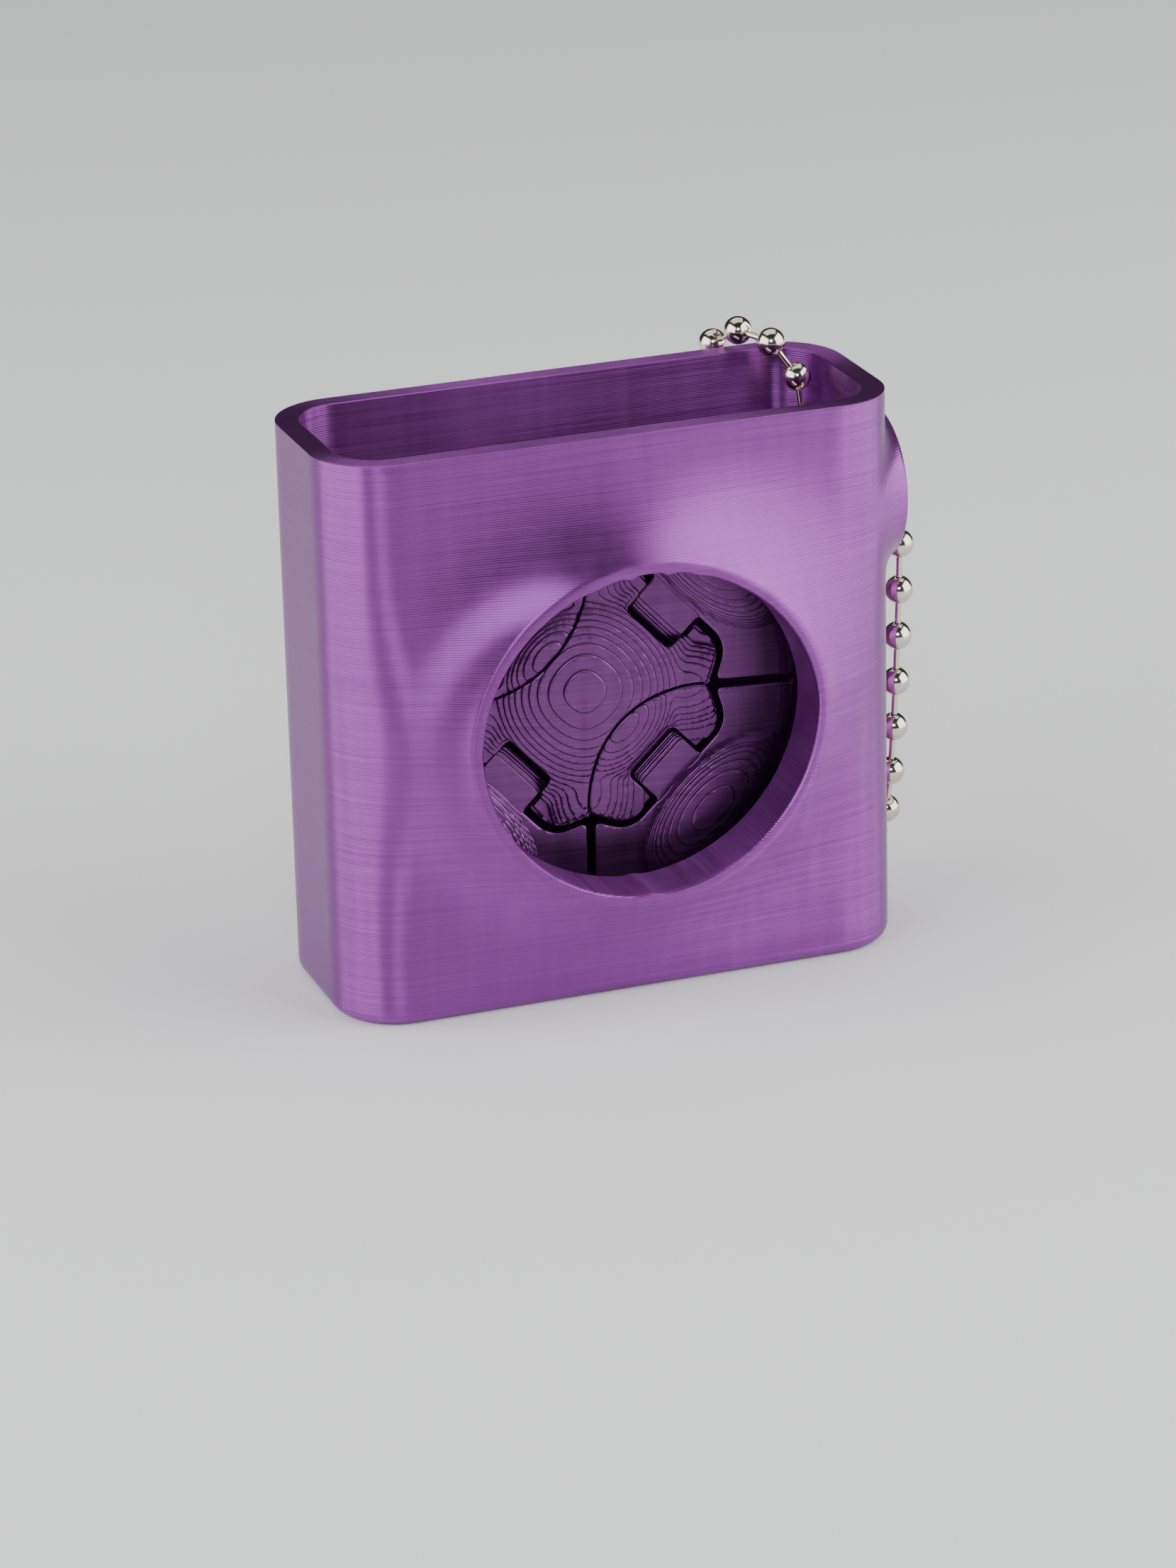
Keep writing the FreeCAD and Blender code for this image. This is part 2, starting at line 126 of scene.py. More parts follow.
# %% Node helper
def node(tree, kind, inputs=(), **settings):
    """A new node; inputs are (socket, value or output socket)."""
    made = tree.nodes.new(kind)
    for name, value in settings.items():
        setattr(made, name, value)
    for socket, value in dict(inputs).items():
        if isinstance(value, bpy.types.NodeSocket):
            tree.links.new(value, made.inputs[socket])
        else:
            made.inputs[socket].default_value = value
    return made


def new_material(name):
    """An empty material with its tree, its shader and its output."""
    material = bpy.data.materials.new(name)
    material.use_nodes = True
    tree = material.node_tree
    tree.nodes.clear()
    shader = node(tree, "ShaderNodeBsdfPrincipled")
    output = node(tree, "ShaderNodeOutputMaterial", {"Surface": shader.outputs["BSDF"]})
    output.target = "ALL"
    return material, tree, shader


# %% [markdown]
# ## Silk PLA, printed in level layers
# The case is silk PLA: a polyester filament with fine pearl flakes, laid down in 0.2 mm layers. The
# flakes lie along each line, so it shines like satin ribbon, with a soft gleam that spreads up and
# down. The layers are a fine bump along Z, and a little noise stands for lines of uneven flow.

# %% Silk PLA of the case
LAYER = 0.2 * MM


def silk_pla(name, light, dark, upright=True):
    """Pearly printed plastic, with its layer lines along Z if it was printed standing up."""
    material, tree, shader = new_material(name)
    place = node(tree, "ShaderNodeTexCoord").outputs["Object"]
    stretched = node(tree, "ShaderNodeMapping", {"Vector": place, "Scale": (60, 60, 5000)})
    flow = node(tree, "ShaderNodeTexNoise", {
        "Vector": stretched.outputs["Vector"], "Scale": 1.0, "Detail": 2.0, "Roughness": 0.6,
    })
    streak = node(tree, "ShaderNodeMapping", {"Vector": place, "Scale": (900, 900, 40)})
    pull = node(tree, "ShaderNodeTexNoise", {
        "Vector": streak.outputs["Vector"], "Scale": 1.0, "Detail": 3.0,
    })
    both = node(tree, "ShaderNodeMix", {
        "Factor": 0.35, "A": flow.outputs["Fac"], "B": pull.outputs["Fac"],
    })
    ramp = node(tree, "ShaderNodeMapRange", {
        "Value": both.outputs["Result"], "From Min": 0.3, "From Max": 0.7,
    })
    tint = node(tree, "ShaderNodeMix", {"Factor": ramp.outputs["Result"]}, data_type="RGBA")
    tint.inputs[6].default_value = linear(dark)
    tint.inputs[7].default_value = linear(light)
    tree.links.new(tint.outputs[2], shader.inputs["Base Color"])
    rough = node(tree, "ShaderNodeMapRange", {
        "Value": both.outputs["Result"], "From Min": 0.3, "From Max": 0.7,
        "To Min": 0.28, "To Max": 0.38,
    })
    tree.links.new(rough.outputs["Result"], shader.inputs["Roughness"])
    shader.inputs["Metallic"].default_value = 0.9
    shader.inputs["IOR"].default_value = 1.46
    if upright:
        shader.inputs["Anisotropic"].default_value = 0.95
        shader.inputs["Anisotropic Rotation"].default_value = 0.25
        around = node(tree, "ShaderNodeTangent", direction_type="RADIAL", axis="Z")
        tree.links.new(around.outputs["Tangent"], shader.inputs["Tangent"])
        height = node(tree, "ShaderNodeSeparateXYZ", {"Vector": place}).outputs["Z"]
        turns = node(tree, "ShaderNodeMath", {0: height, 1: 2 * math.pi / LAYER},
                     operation="MULTIPLY")
        wave = node(tree, "ShaderNodeMath", {0: turns.outputs[0]}, operation="SINE")
        uneven = node(tree, "ShaderNodeMath", {0: wave.outputs[0], 1: 0.5, 2: flow.outputs["Fac"]},
                      operation="MULTIPLY_ADD")
        bump = node(tree, "ShaderNodeBump", {
            "Height": uneven.outputs[0], "Strength": 0.35, "Distance": 0.03 * MM,
        })
        tree.links.new(bump.outputs["Normal"], shader.inputs["Normal"])
    return material


case_silk = silk_pla("silk_pla_case", "#9a51a6", "#854391")
toy_silk = silk_pla("silk_pla_toy", "#824a8a", "#633669", upright=False)
print("finishes:", case_silk.name, toy_silk.name)

# %% [markdown]
# ## Nickel plate
# The chain is stamped from thin brass strip and plated with bright nickel, which is a little warm
# and reflects the room almost like a mirror, with faint rolling marks.

# %% Nickel plate of the chain
nickel, tree, shader = new_material("bright_nickel_on_brass")
shader.inputs["Metallic"].default_value = 1.0
place = node(tree, "ShaderNodeTexCoord").outputs["Object"]
haze = node(tree, "ShaderNodeTexNoise", {"Vector": place, "Scale": 900.0, "Detail": 3.0})
tone = node(tree, "ShaderNodeMix", {"Factor": haze.outputs["Fac"]}, data_type="RGBA")
tone.inputs[6].default_value = linear("#c9bfae")
tone.inputs[7].default_value = linear("#e8e0d2")
tree.links.new(tone.outputs[2], shader.inputs["Base Color"])
worn = node(tree, "ShaderNodeMapRange", {
    "Value": haze.outputs["Fac"], "To Min": 0.08, "To Max": 0.22,
})
tree.links.new(worn.outputs["Result"], shader.inputs["Roughness"])
print("finish:", nickel.name)

# %% [markdown]
# ## The chain's route
# The chain is a closed loop: from its clasp behind the case it goes up and over the mouth's back
# edge, down inside, out through the eye, and hangs outside before it comes back to the clasp. The
# route is a smooth NURBS line with the same points as the drawing, so that balls and pins can be
# set along it at one even spacing.

# %% Chain route
ROUTE = [
    (15.6, 12.5, 24.1), (15.7, 12.5, 29.4), (15.9, 12.6, 35.0), (16.0, 12.8, 40.9),
    (16.2, 12.7, 46.4), (16.5, 11.9, 50.8), (17.7, 7.7, 52.3), (19.0, 3.9, 52.1),
    (21.7, 4.5, 48.8), (22.2, 4.5, 43.6), (21.6, 3.2, 38.2), (22.7, 0.7, 35.4),
    (25.7, -1.4, 35.7), (28.4, -2.0, 35.6), (28.3, -2.0, 31.9), (28.1, -2.0, 26.0),
    (27.8, -2.0, 19.1), (27.4, -1.9, 12.4), (27.7, 0.5, 6.8), (27.3, 5.6, 4.5),
    (24.8, 10.4, 4.7), (21.0, 12.7, 7.3), (17.6, 13.2, 12.0), (15.1, 13.0, 18.2),
]
line = bpy.data.curves.new("chain_route", "CURVE")
line.dimensions = "3D"
line.resolution_u = 48
spline = line.splines.new("NURBS")
spline.points.add(len(ROUTE) - 1)
for point, place in zip(spline.points, ROUTE):
    point.co = (*mm(*place), 1.0)
spline.order_u = 3
spline.use_endpoint_u = True
guide = bpy.data.objects.new("chain_route", line)
bpy.context.collection.objects.link(guide)
traced = bpy.data.meshes.new_from_object(guide)
CHAIN_PATH = [v.co.copy() for v in traced.vertices]
bpy.data.objects.remove(guide)
CHAIN_LONG = sum((b - a).length for a, b in zip(CHAIN_PATH, CHAIN_PATH[1:]))
print(f"chain route: {CHAIN_LONG / MM:.1f} mm, {len(CHAIN_PATH)} points")

# %% [markdown]
# ## Balls and pins
# Each ball is a little barrel pressed from strip: round, with a small flat collar round each of its
# two holes. It is a profile spun about its own axis, then turned to lie along the chain. Between
# two balls a thin pin shows, with its heads hidden inside them.

# %% Chain balls and pins
PITCH = 4.22 * MM
BALL = 1.25 * MM
PIN = 0.28 * MM
HEAD_IN = 0.95 * MM


def along(path, distance):
    """The point that far along a path."""
    for a, b in zip(path, path[1:]):
        step = (b - a).length
        if distance <= step:
            return a.lerp(b, distance / step)
        distance -= step
    return path[-1].copy()


BALLS = int(CHAIN_LONG / PITCH) + 1
SPARE = (CHAIN_LONG - (BALLS - 1) * PITCH) / 2
PLACES = [along(CHAIN_PATH, SPARE + PITCH * i) for i in range(BALLS)]


def spun(bm, profile, segments):
    """A closed round solid about Z, from (radius, height) pairs that start and end on the axis."""
    verts = [bm.verts.new((r, 0, z)) for r, z in profile]
    edges = [bm.edges.new(pair) for pair in zip(verts, verts[1:])]
    bmesh.ops.spin(
        bm, geom=verts + edges, cent=(0, 0, 0), axis=(0, 0, 1), angle=2 * math.pi,
        steps=segments, use_merge=True,
    )
    whole = list({v for e in bm.edges for v in e.verts if v.is_valid})
    bmesh.ops.remove_doubles(bm, verts=whole, dist=1e-7)
    bmesh.ops.recalc_face_normals(bm, faces=bm.faces[:])


def ball_profile():
    """Half the outline of a ball, from the hole at one end to the hole at the other."""
    hole, lip = 0.40 * MM, 0.55 * MM
    ends = math.acos(lip / BALL)
    arc = [math.radians(-90) + (math.pi / 2 - ends) + ends * 2 * i / 16 for i in range(17)]
    outer = [(BALL * math.cos(a), BALL * math.sin(a)) for a in arc]
    low = outer[0][1]
    return [(0, low + 0.15 * MM), (hole, low + 0.15 * MM), (hole, low), *outer,
            (hole, -low), (hole, -low - 0.15 * MM), (0, -low - 0.15 * MM)]


def set_between(bm, start, direction):
    """Turns a bmesh made along Z to lie along a direction, with its origin at start."""
    turn = direction.to_track_quat("Z", "Y").to_matrix().to_4x4()
    bmesh.ops.transform(bm, matrix=Matrix.Translation(start) @ turn, verts=bm.verts[:])


def joined(parts):
    """Several bmeshes as one."""
    whole = bmesh.new()
    for part in parts:
        mesh = bpy.data.meshes.new("part")
        part.to_mesh(mesh)
        part.free()
        whole.from_mesh(mesh)
        bpy.data.meshes.remove(mesh)
    return whole


chain_parts = []
for i, place in enumerate(PLACES):
    before, after = PLACES[max(i - 1, 0)], PLACES[min(i + 1, BALLS - 1)]
    ball = bmesh.new()
    spun(ball, ball_profile(), 28)
    set_between(ball, place, after - before)
    chain_parts.append(ball)
for a, b in zip(PLACES, PLACES[1:]):
    pin = bmesh.new()
    gap = (b - a).length - 2 * HEAD_IN
    spun(pin, [(0, 0), (PIN, 0), (PIN, gap), (0, gap)], 14)
    set_between(pin, a + (b - a).normalized() * HEAD_IN, b - a)
    chain_parts.append(pin)
chain = finished(joined(chain_parts), "ball_chain", "case", nickel, sharp=50)
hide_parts("chain_pins", *[n for n in NODES if n.startswith("chain_bead_")])
print(f"{BALLS} balls, {PITCH / MM} mm apart")

# %% [markdown]
# ## Clasp
# A strip of plated brass is curled into an open tube. The chain's two end balls snap in through
# the slot and are held by the necked ends. Here the tube is a bent strip with real thickness.

# %% Clasp
low, high = PLACES[-1], PLACES[0]
CLASP_LONG = (high - low).length + 2 * 1.3 * MM
sleeve = bmesh.new()
half_slot = math.asin(0.6 / 1.5)
rim = [sleeve.verts.new((1.5 * MM * math.sin(a), -1.5 * MM * math.cos(a), 0)) for a in
       [(-math.pi + half_slot) + (2 * math.pi - 2 * half_slot) * i / 40 for i in range(41)]]
strip = [sleeve.edges.new(pair) for pair in zip(rim, rim[1:])]
for _ in range(12):
    raised = bmesh.ops.extrude_edge_only(sleeve, edges=strip)["geom"]
    bmesh.ops.translate(sleeve, vec=(0, 0, CLASP_LONG / 12),
                        verts=[g for g in raised if isinstance(g, bmesh.types.BMVert)])
    strip = [g for g in raised if isinstance(g, bmesh.types.BMEdge)
             and abs(g.verts[0].co.z - g.verts[1].co.z) < 1e-9]
for v in sleeve.verts:
    end = min(v.co.z, CLASP_LONG - v.co.z)
    neck = 1 - 0.10 * max(0, 1 - end / (1.1 * MM)) ** 2
    v.co.x, v.co.y = v.co.x * neck, v.co.y * neck
bmesh.ops.recalc_face_normals(sleeve, faces=sleeve.faces[:])
bmesh.ops.solidify(sleeve, geom=sleeve.faces[:], thickness=0.22 * MM)
bmesh.ops.recalc_face_normals(sleeve, faces=sleeve.faces[:])
heading = (high - low).normalized()
set_between(sleeve, low - heading * 1.3 * MM, heading)
clasp = finished(sleeve, "clasp", "case", nickel)
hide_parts("chain_clasp")
print(f"clasp: {CLASP_LONG / MM:.1f} mm long")

# %% [markdown]
# ## The case as a sleeve
# The case is a printed sleeve with rounded corners. It is easiest to make as a flat sheet, with a
# round hole for the window and another for the eye, and then to wrap it round the outline. Round a
# hole the quads run in rings, so the lip is a true circle and the flare shades smoothly.

# %% Outline of the case, millimetres
HALF_WIDE, HALF_DEEP, TALL = 25.5, 10.3, 50.0
CORNER, WALL, FLOOR, BASE_ROUND = 5.9, 2.0, 3.75, 1.2
FLAT_WIDE, FLAT_DEEP = HALF_WIDE - CORNER, HALF_DEEP - CORNER
ARC = CORNER * math.pi / 2
AROUND = 4 * (FLAT_WIDE + FLAT_DEEP + ARC)


def wrapped(s, out):
    """The point s mm along the outline from the front's middle, that far outside it."""
    s %= AROUND
    quarter = [FLAT_WIDE, ARC, 2 * FLAT_DEEP, ARC, 2 * FLAT_WIDE, ARC, 2 * FLAT_DEEP, ARC,
               FLAT_WIDE]
    starts = [(0, -HALF_DEEP), (FLAT_WIDE, -FLAT_DEEP), (HALF_WIDE, -FLAT_DEEP),
              (FLAT_WIDE, FLAT_DEEP), (FLAT_WIDE, HALF_DEEP), (-FLAT_WIDE, FLAT_DEEP),
              (-HALF_WIDE, FLAT_DEEP), (-FLAT_WIDE, -FLAT_DEEP), (-FLAT_WIDE, -HALF_DEEP)]
    part = 0
    while part < 8 and s > quarter[part]:
        s -= quarter[part]
        part += 1
    x, y = starts[part]
    if part % 2:
        angle = math.radians(-90 + 90 * (part - 1) / 2) + s / CORNER
        return x + (CORNER + out) * math.cos(angle), y + (CORNER + out) * math.sin(angle)
    heading = math.pi / 2 * part / 2
    return (x + s * math.cos(heading) + out * math.sin(heading),
            y + s * math.sin(heading) - out * math.cos(heading))


def unrolled(across, flat, out):
    """How far along the outline a point lies, from its distance across a wall."""
    over = abs(across) - flat
    if over <= 0:
        return across
    return math.copysign(flat + CORNER * math.asin(min(1, over / (CORNER + out))), across)


print(f"outline: {AROUND:.1f} mm round")

# %% [markdown]
# ## Flares
# The window's lip stands 3 mm proud and flows back into the wall over a wide, hollow curve, like a
# trumpet's mouth. The eye's lip does the same in a shorter space. Each flare is a height above the
# wall that depends on the distance from its hole, and it fades out before the far corner. The top
# of a round hole is printed over air, so it sinks a little and leaves a drip or two.

# %% Flares
WINDOW = {"right": 1.0, "up": 25.0, "hole": 15.1, "lip": 16.05, "proud": 3.0, "spread": 30.0}
EYE = {"up": 39.6, "hole": 5.8, "lip": 6.6, "face": 27.2, "spread": 9.6}
SAG = 1.5


def sag(angle):
    """How far the arch over the window sank while it was soft."""
    return SAG * max(0.0, math.sin(angle)) ** 1.3


def drips(angle):
    """The lumps along the sunken edge of the hole: place and width in degrees, and size."""
    lumps = (97, 1.6, 0.3), (83, 1.8, 0.28), (110, 4, 0.12), (72, 3, 0.1), (268, 2.5, 0.14)
    return sum(size * math.exp(-((math.degrees(angle) % 360 - at) / wide) ** 2)
               for at, wide, size in lumps)


def flare(distance, lip, spread):
    """1 on the lip, falling to 0 at the spread along a hollow curve."""
    if distance <= lip:
        return 1.0
    return max(0.0, (spread - distance) / (spread - lip)) ** 3


def outside(s, z):
    """A point on the case's outer face, flares and all."""
    x, y = wrapped(s, 0)
    if y < -FLAT_DEEP:
        across, up = x - WINDOW["right"], z - WINDOW["up"]
        away = math.hypot(across, up) + sag(math.atan2(up, across))
        fade = min(1.0, max(0.0, (HALF_WIDE - abs(x)) / 6.5))
        fade = fade * fade * (3 - 2 * fade)
        y -= WINDOW["proud"] * flare(away, WINDOW["lip"], WINDOW["spread"]) * fade
    if x > FLAT_WIDE:
        away = math.hypot(y, z - EYE["up"])
        x += (EYE["face"] - x) * flare(away, EYE["lip"], EYE["spread"])
    return mm(x, y, z)


def inside(s, z):
    """A point on the inner wall; its lowest part is drawn up to the floor."""
    x, y = wrapped(s, -WALL)
    return mm(x, y, z if z > 8 else FLOOR + (z - BASE_ROUND) * (8 - FLOOR) / (8 - BASE_ROUND))


print("flare half way out:", round(flare(23, WINDOW["lip"], WINDOW["spread"]), 3))

# %% [markdown]
# ## Sheets of quads
# A grid is the simplest mesh there is. Moving each of its corners to a place worked out from its
# column and row turns it into a wall, a ring round a hole or a rim, and sheets that meet share
# their edge points, so they weld into one closed skin.

# %% Sheets
def sheet(bm, columns, rows, place):
    """A grid of quads, each corner put where place(column, row) says."""
    made = bmesh.ops.create_grid(bm, x_segments=columns, y_segments=rows, size=1)
    for v in made["verts"]:
        v.co = place(round((v.co.x + 1) / 2 * columns), round((v.co.y + 1) / 2 * rows))


def steps(low, high, count):
    """Even steps from low to high."""
    return [low + (high - low) * i / count for i in range(count + 1)]


ROWS = 66
LEVELS = steps(BASE_ROUND, TALL, ROWS)
LEFT_END, FRONT_END, EYE_END = -22.0, 24.0, 2 * (FLAT_WIDE + ARC + FLAT_DEEP) - 24.0
FRONT = steps(LEFT_END, FRONT_END, 62)
SIDE = steps(FRONT_END, EYE_END, 24)
REST = steps(EYE_END, AROUND + LEFT_END, 92)
EYE_LOW, EYE_HIGH = 39, 63
print("sheets:", len(FRONT) - 1, len(SIDE) - 1, len(REST) - 1, "columns")


# %% [markdown]
# ## A wall with a round hole
# Spokes run from the hole to the sheet's square edge. The first rings are true circles, where the
# lip and the steep part of the flare are, and the last ones ease from a circle to the rectangle.

# %% Holed panel
def edge_points(across, up):
    """The rectangle's own edge points, anticlockwise from its lower right corner."""
    right_side = [(across[-1], z) for z in up]
    top_side = [(s, up[-1]) for s in reversed(across)]
    left_side = [(across[0], z) for z in reversed(up)]
    bottom_side = [(s, up[0]) for s in across]
    return right_side[:-1] + top_side[:-1] + left_side[:-1] + bottom_side[:-1]


def wall_middle(flat):
    """How far along the outline a holed wall's middle lies: the front's or the right-hand one's."""
    return FLAT_WIDE + ARC + FLAT_DEEP if flat == FLAT_DEEP else 0.0


def holed_panel(bm, across, up, centre, flat, radii, out, put):
    """Rings of quads from a round hole to a rectangle; put turns flat places into points."""
    border = edge_points(across, up)
    middle = wall_middle(flat)
    blend = 8

    def place(i, j):
        s, z = border[i % len(border)]
        angle = math.atan2(z - centre[1], s - middle - centre[0])
        radius = radii[min(j, len(radii) - 1)]
        if flat == FLAT_WIDE:
            radius -= sag(angle) + drips(angle) * max(0.0, 1 - j / 3)
        ring_s = middle + unrolled(centre[0] + radius * math.cos(angle), flat, out)
        ring_z = centre[1] + radius * math.sin(angle)
        ease = max(0, j - len(radii) + 1) / blend
        return put(ring_s + (s - ring_s) * ease, ring_z + (z - ring_z) * ease)

    sheet(bm, len(border), len(radii) - 1 + blend, place)


WINDOW_RADII = [15.25, 15.6, 16.0, 16.12, 16.3, 16.6, 17.0, 17.5, 18.0, 18.6, 19.2, 19.8, 20.4,
                21.0, 21.6]
EYE_RADII = [5.95, 6.2, 6.55, 6.65, 6.8, 7.0, 7.3, 7.7, 8.1]
WINDOW_AT, EYE_AT = (WINDOW["right"], WINDOW["up"]), (0, EYE["up"])
EYE_LEVELS = LEVELS[EYE_LOW:EYE_HIGH + 1]
case = bmesh.new()
for put, out in ((outside, 0.0), (inside, -WALL)):
    window_radii = WINDOW_RADII if put is outside else [WINDOW["hole"], *WINDOW_RADII[1:]]
    eye_radii = EYE_RADII if put is outside else [EYE["hole"], 6.3, 6.8, 7.4]
    holed_panel(case, FRONT, LEVELS, WINDOW_AT, FLAT_WIDE, window_radii, out, put)
    holed_panel(case, SIDE, EYE_LEVELS, EYE_AT, FLAT_DEEP, eye_radii, out, put)
    sheet(case, 24, EYE_LOW, lambda i, j: put(SIDE[i], LEVELS[j]))
    sheet(case, 24, ROWS - EYE_HIGH, lambda i, j: put(SIDE[i], LEVELS[EYE_HIGH + j]))
    sheet(case, 92, ROWS, lambda i, j: put(REST[i], LEVELS[j]))
print(f"skins: {len(case.faces)} faces")

# %% [markdown]
# ## Edges of the case
# The holes, the mouth's rim and the base close the two skins into one solid. The rim shows the
# side-by-side lines that the wall is printed from, and each edge is slightly round, because a bead
# of melted plastic can't make a sharp one.

# %% Edges of the case
def bore(bm, across, up, centre, flat, radius, front_put, back_put):
    """The wall of a round hole, with a small round where it meets the lip."""
    border = edge_points(across, up)
    middle = wall_middle(flat)
    depths = [0.0, 0.02, 0.05, 0.2, 0.4, 0.6, 0.8, 1.0]

    def place(i, j):
        s, z = border[i % len(border)]
        angle = math.atan2(z - centre[1], s - middle - centre[0])
        hole = radius - (sag(angle) + drips(angle) if flat == FLAT_WIDE else 0.0)
        wide = hole + (0.15 if j == 0 else 0.05 if j == 1 else 0)
        up_z = centre[1] + wide * math.sin(angle)
        front = front_put(middle + unrolled(centre[0] + wide * math.cos(angle), flat, 0.0), up_z)
        rear = back_put(
            middle + unrolled(centre[0] + hole * math.cos(angle), flat, -WALL),
            centre[1] + hole * math.sin(angle),
        )
        if j == len(depths) - 1:
            return rear
        if flat == FLAT_WIDE:
            return Vector((front.x, front.y + (rear.y - front.y) * depths[j], front.z))
        return Vector((front.x + (rear.x - front.x) * depths[j], front.y, front.z))

    sheet(bm, len(border), len(depths) - 1, place)


bore(case, FRONT, LEVELS, WINDOW_AT, FLAT_WIDE, WINDOW["hole"], outside, inside)
bore(case, SIDE, EYE_LEVELS, EYE_AT, FLAT_DEEP, EYE["hole"], outside, inside)

ROUND_TRIP = FRONT + SIDE[1:] + REST[1:]


def rim_place(i, j):
    """Across the rim, from the outer edge to the inner: rounded edges and four shallow lines."""
    part = j / 16
    outer, inner = outside(ROUND_TRIP[i], TALL), inside(ROUND_TRIP[i], TALL)
    point = outer.lerp(inner, part)
    line_dip = 0.035 * abs(math.cos(part * math.pi * 4)) ** 6
    point.z += (0.0 if j in (0, 16) else 0.06 - line_dip) * MM
    return point


sheet(case, len(ROUND_TRIP) - 1, 16, rim_place)


def base_place(i, j):
    """The rounded edge under the case."""
    turn = math.pi / 2 * j / 6
    x, y = wrapped(ROUND_TRIP[i], -BASE_ROUND * (1 - math.cos(turn)))
    return mm(x, y, BASE_ROUND * (1 - math.sin(turn)))


sheet(case, len(ROUND_TRIP) - 1, 6, base_place)
bmesh.ops.remove_doubles(case, verts=case.verts[:], dist=0.004 * MM)
loose = [e for e in case.edges if e.is_boundary]
closed = bmesh.ops.edgeloop_fill(case, edges=loose)["faces"]
bmesh.ops.recalc_face_normals(case, faces=case.faces[:])
print("floor faces:", len(closed), "open edges left:", sum(e.is_boundary for e in case.edges))
case_piece = finished(case, "printed_case", "case", case_silk, sharp=40)
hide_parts("case")

# %% [markdown]
# ## The folding toy: one height over the plane
# The toy is printed flat on its back in 0.2 mm layers, and on its low domes each layer shows as a
# step, like the contours on a map. A link is described by two simple rules: how far a place lies
# inside the link's outline, and how high the link stands there. Both are plain sums of circles and
# straight edges, with a soft minimum that rounds the corners where they meet.

# %% Toy frame and soft minimum
TOY = Matrix.Translation(mm(-1.04, 2.94, 24.71)) @ Matrix.Rotation(math.radians(-4.5), 4, "Z") \
    @ Matrix.Rotation(math.radians(84), 4, "X") @ Matrix.Rotation(math.radians(-2), 4, "Z")
DOME_TOP, DOME_CURVE, ARM_TOP = 6.4, 35.0, 4.35
NOTCH_FLOOR, NOTCH_HALF = 7.5, 2.85
SEAM_MIDDLE, SEAM_RADIUS, SEAM_HALF = 14.35, 10.2, 0.07
GAP, SLIT_HALF, RIM_RADIUS, RIM_FLAT = 0.6, 0.36, 19.4, 18.4


def softest(radius, *values):
    """The least value, rounded off where two are nearly equal."""
    low, *rest = sorted(values)
    for value in rest:
        share = max(0.0, radius - (value - low)) / radius
        low -= share * share * radius / 4
    return low


print("rounded corner of a square at 1 mm:", round(softest(1.0, 0.3, 0.3), 3))

# %% [markdown]
# ## Outlines of the links
# Seen from above, the inner links make a cross of eight rounded lobes with a slot on each diagonal
# for a petal's knuckle. Two arcs split the cross into a middle band and two side lobes.

# %% Outlines
def cross(along, aside):
    """Distance inside the cross of lobes; along and aside run on the toy's two diagonals."""
    u, v = abs(along - aside) / math.sqrt(2), abs(along + aside) / math.sqrt(2)
    return softest(1.6, 10.09 - 0.947 * u + 0.322 * v, 10.09 - 0.947 * v + 0.322 * u,
                   10.75 - abs(along), 10.75 - abs(aside))


def slots(along, aside):
    """Distance outside the slots for the petals' knuckles."""
    first = -softest(0.5, abs(along) - NOTCH_FLOOR, NOTCH_HALF - abs(aside))
    second = -softest(0.5, abs(aside) - NOTCH_FLOOR, NOTCH_HALF - abs(along))
    return min(first, second)


def centre_outline(along, aside):
    seam = math.hypot(along, SEAM_MIDDLE - abs(aside)) - SEAM_RADIUS - SEAM_HALF
    return softest(0.25, cross(along, aside), slots(along, aside), seam)


def side_outline(along, aside):
    seam = SEAM_RADIUS - SEAM_HALF - math.hypot(along - SEAM_MIDDLE, aside)
    return softest(0.25, cross(along, aside), slots(along, aside), seam)


def petal_outline(along, aside):
    """A quarter of the rim beyond the cross, and the knuckle that reaches into its slot."""
    wedge = (along - abs(aside)) / math.sqrt(2) - SLIT_HALF
    rim = softest(1.2, RIM_RADIUS - math.hypot(along, aside), RIM_FLAT - along)
    knuckle = softest(0.4, NOTCH_HALF - 0.16 - abs(aside), along - NOTCH_FLOOR - 0.45, 14 - along)
    return max(softest(0.6, -cross(along, aside) - GAP, wedge, rim), knuckle)


print("lobe tip inside the cross:", round(cross(10, 4), 2), "mm")

# %% [markdown]
# ## Heights of the links
# The middle is a shallow dome. It flattens into the arms, whose lobes droop a little. Each side
# lobe has a small crown of its own next to the arc, and each petal a long low hill by the rim.

# %% Heights
def arm_height(along, aside):
    """The lobes: level at the dome's foot, drooping towards the ends."""
    middle = math.hypot(abs(along) - 6.2, abs(aside) - 6.2)
    return ARM_TOP + 0.25 - 0.035 * middle * middle - 0.02 * (abs(along) - abs(aside)) ** 2


def centre_height(along, aside):
    reach = along * along + aside * aside
    lift = 1 + 0.05 * math.cos(4 * math.atan2(aside, along))
    return -softest(0.3, -(DOME_TOP - reach * lift / DOME_CURVE), -arm_height(along, aside))


def side_height(along, aside):
    crown = 5.62 - ((along - 4.75) / 2.0) ** 2 * 0.55 - (aside / 3.1) ** 2 * 0.42
    return -softest(0.3, -crown, -arm_height(along, aside))


def petal_height(along, aside):
    hill = 1 - ((along - 15.9) / 4.3) ** 2 - (aside / 8.2) ** 2
    edge = RIM_RADIUS - math.hypot(along, aside)
    flat = 3.4 + (2.2 * math.sqrt(hill) if hill > 0 else 0.0)
    on_knuckle = along < 11.4 and abs(aside) < NOTCH_HALF
    barrel = 3.2 - 0.32 * max(0.0, 9.6 - along) ** 2 if on_knuckle else flat
    rounded = 3.4 * (1 - min(1.0, edge / 2.4)) ** 2.2 if edge < 2.4 else 0.0
    return min(flat, barrel) - rounded


